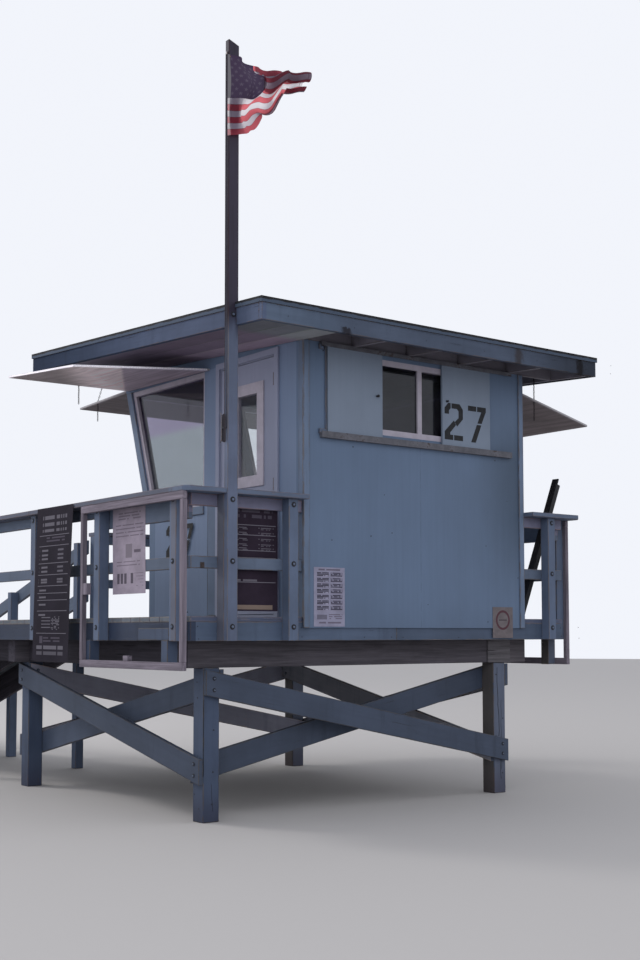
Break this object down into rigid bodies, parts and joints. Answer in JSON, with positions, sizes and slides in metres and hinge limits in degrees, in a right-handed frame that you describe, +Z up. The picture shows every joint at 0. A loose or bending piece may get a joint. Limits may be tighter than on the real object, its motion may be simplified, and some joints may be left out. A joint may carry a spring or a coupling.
{
  "type": "lifeguard tower",
  "caption": "Timber lifeguard tower: a cabin with a leaning glazed front on a braced raised deck, with railings, awnings, board racks, a flagpole and an access ramp.",
  "frame": {"origin": "on the ground, under the middle of the whole outline, awnings and ramp included", "axes": "+Z up, +Y from the landward side towards the water and down the ramp, +X to the right seen from the landward side"},
  "size_m": [4.699, 9.8056, 5.7346],
  "materials": {
    "light_blue_paint": "weathered paint on timber",
    "grey_blue_paint": "weathered paint on timber",
    "bare_boards": "bare weathered timber",
    "dark_timber": "dark weathered timber",
    "deck_paint": "worn paint on boards",
    "white_paint": "aged white paint",
    "window_glass": "dusty clear glass",
    "worn_brass": "worn",
    "rusty_steel": "rusty",
    "flag_cloth": "woven cloth",
    "rope": "twisted cord",
    "banner_cloth": "coated cloth",
    "notice_board": "matt printed sheet",
    "dark_metal": "dark paint"
  },
  "bodies": {
    "tower": {"legs": "light_blue_paint", "braces": "light_blue_paint", "beams": "dark_timber", "joists": "dark_timber", "rim_boards": "light_blue_paint", "deck_boards": "deck_paint", "cabin_floor": "deck_paint", "rear_wall": "light_blue_paint", "right_wall": "light_blue_paint", "wall_beside_door": "light_blue_paint", "left_wall": "light_blue_paint", "front_wall": "light_blue_paint", "wall_header": "light_blue_paint", "corner_posts": "light_blue_paint", "window_sills": "light_blue_paint", "corner_trim": "light_blue_paint", "window_frames": "white_paint", "window_glass": "window_glass", "door_frame": "light_blue_paint", "door_hinges": "rusty_steel", "shutters": "light_blue_paint", "shutter_tracks": "rusty_steel", "awnings": "bare_boards", "awning_chains": "rusty_steel", "roof_deck": "grey_blue_paint", "rafters": "dark_timber", "rafter_blocks": "dark_timber", "fascia": "grey_blue_paint", "railing_posts": "light_blue_paint", "railing_boards": "light_blue_paint", "railing_caps": "light_blue_paint", "board_racks": "bare_boards", "flagpole": "light_blue_paint", "halyard": "rope", "flag": "flag_cloth", "ramp_stringers": "dark_timber", "ramp_deck": "deck_paint", "ramp_posts": "light_blue_paint", "ramp_rails": "light_blue_paint", "banners": "banner_cloth", "notices": "notice_board", "leaning_channel": "dark_metal"},
    "door": {"door_leaf": "light_blue_paint", "door_window_frame": "white_paint", "door_glass": "window_glass", "door_knob": "worn_brass"}
  },
  "joints": [
    {"name": "door_hinge", "type": "hinge", "parent": "tower", "child": "door", "pos_m": [-1.0825, -4.0538, 2.546], "axis": [0, 0, 1], "range_deg": [0, 105]}
  ]
}
